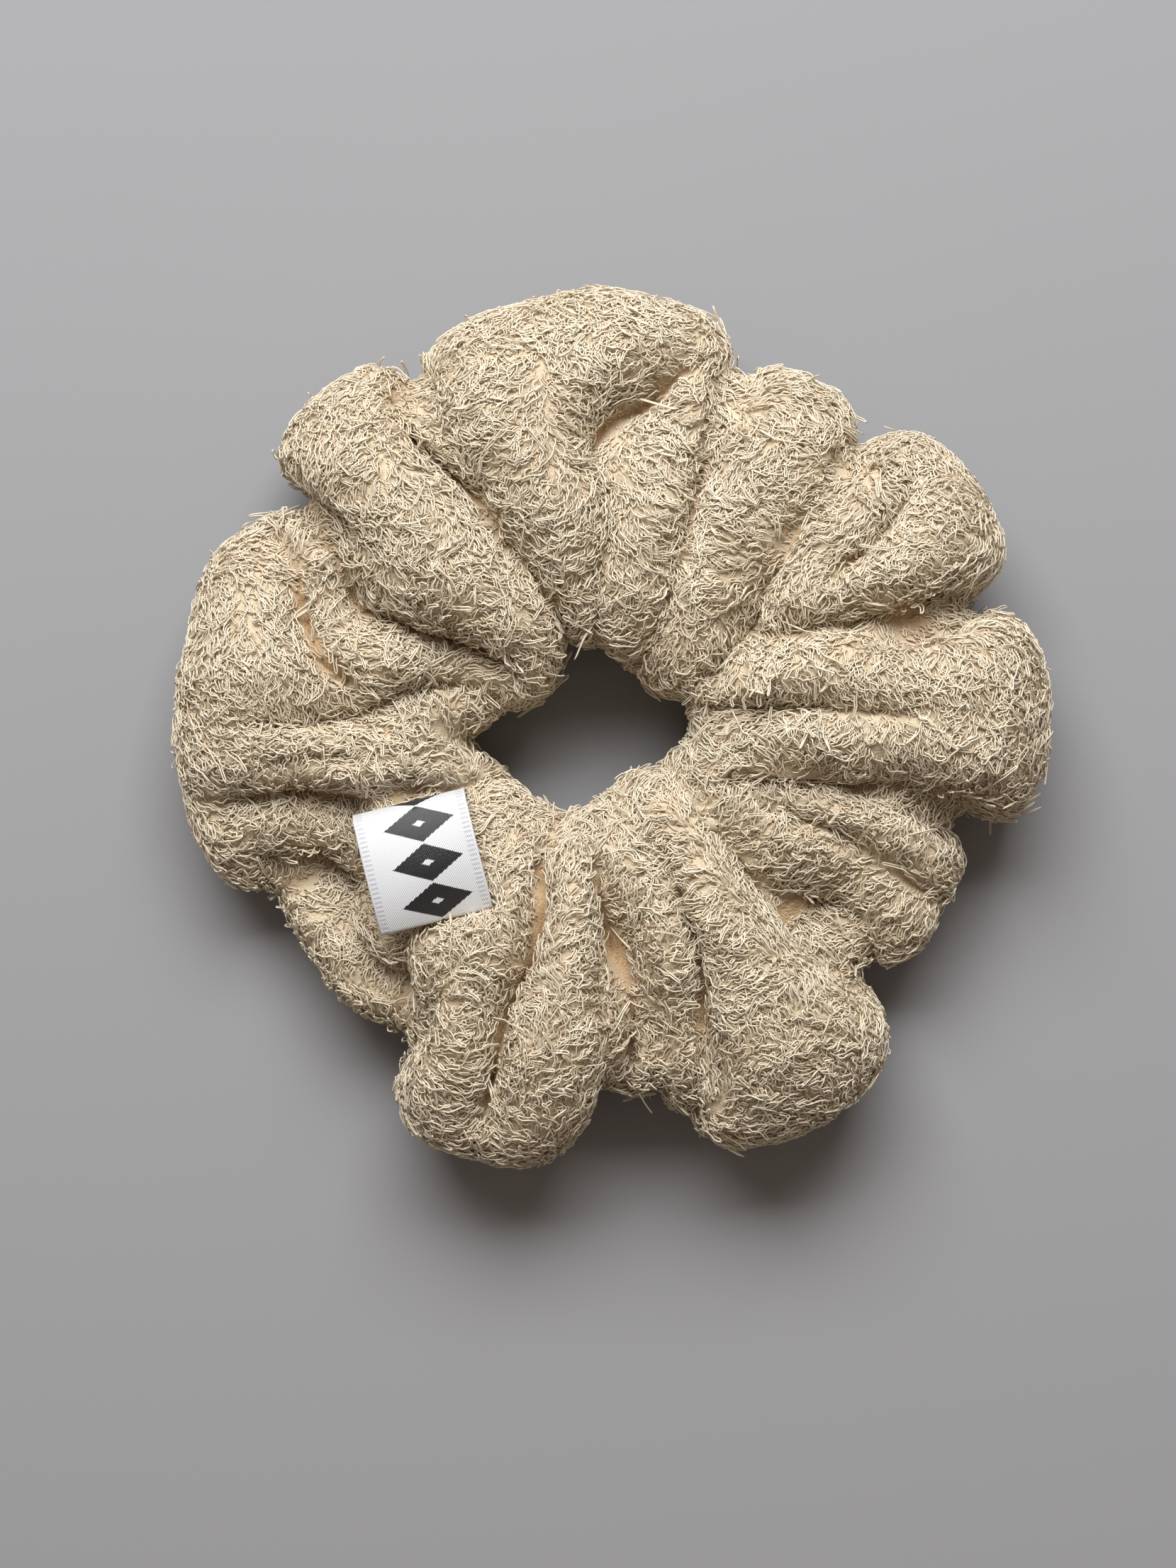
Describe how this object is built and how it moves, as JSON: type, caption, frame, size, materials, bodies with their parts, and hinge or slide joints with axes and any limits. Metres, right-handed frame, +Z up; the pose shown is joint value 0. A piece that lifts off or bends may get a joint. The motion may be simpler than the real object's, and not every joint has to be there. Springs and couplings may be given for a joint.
{
  "type": "scrunchie",
  "caption": "Soft hair tie: a puffed, gathered ring of looped terry cloth round a free elastic band, with a small folded ribbon label sewn into its seam.",
  "frame": {"origin": "on the surface that the ring lies on, under the middle of its overall box", "axes": "+Z up out of the surface, along the axis of the hair opening; the label lies towards -X and -Y, and +Y is away from a person who looks at it"},
  "size_m": [0.1172, 0.117, 0.0282],
  "materials": {
    "terry_cloth": "matte",
    "sewing_thread": "satin",
    "elastic_webbing": "matte",
    "satin_ribbon": "satin"
  },
  "bodies": {
    "cover": {"terry_cover": "terry_cloth", "long_seam_thread": "sewing_thread", "closing_seam_thread": "sewing_thread", "label_sewn_ends": "satin_ribbon"},
    "elastic": {"elastic_band": "elastic_webbing", "elastic_join_thread": "sewing_thread"},
    "label": {"label_flap": "satin_ribbon"}
  },
  "joints": [
    {"name": "elastic_slip", "type": "hinge", "parent": "cover", "child": "elastic", "pos_m": [0, 0, 0.011], "axis": [0, 0, 1], "continuous": true},
    {"name": "label_lift", "type": "hinge", "parent": "cover", "child": "label", "pos_m": [-0.0272, -0.0092, 0.022], "axis": [-0.9703, -0.2419, 0], "range_deg": [0, 120]}
  ]
}
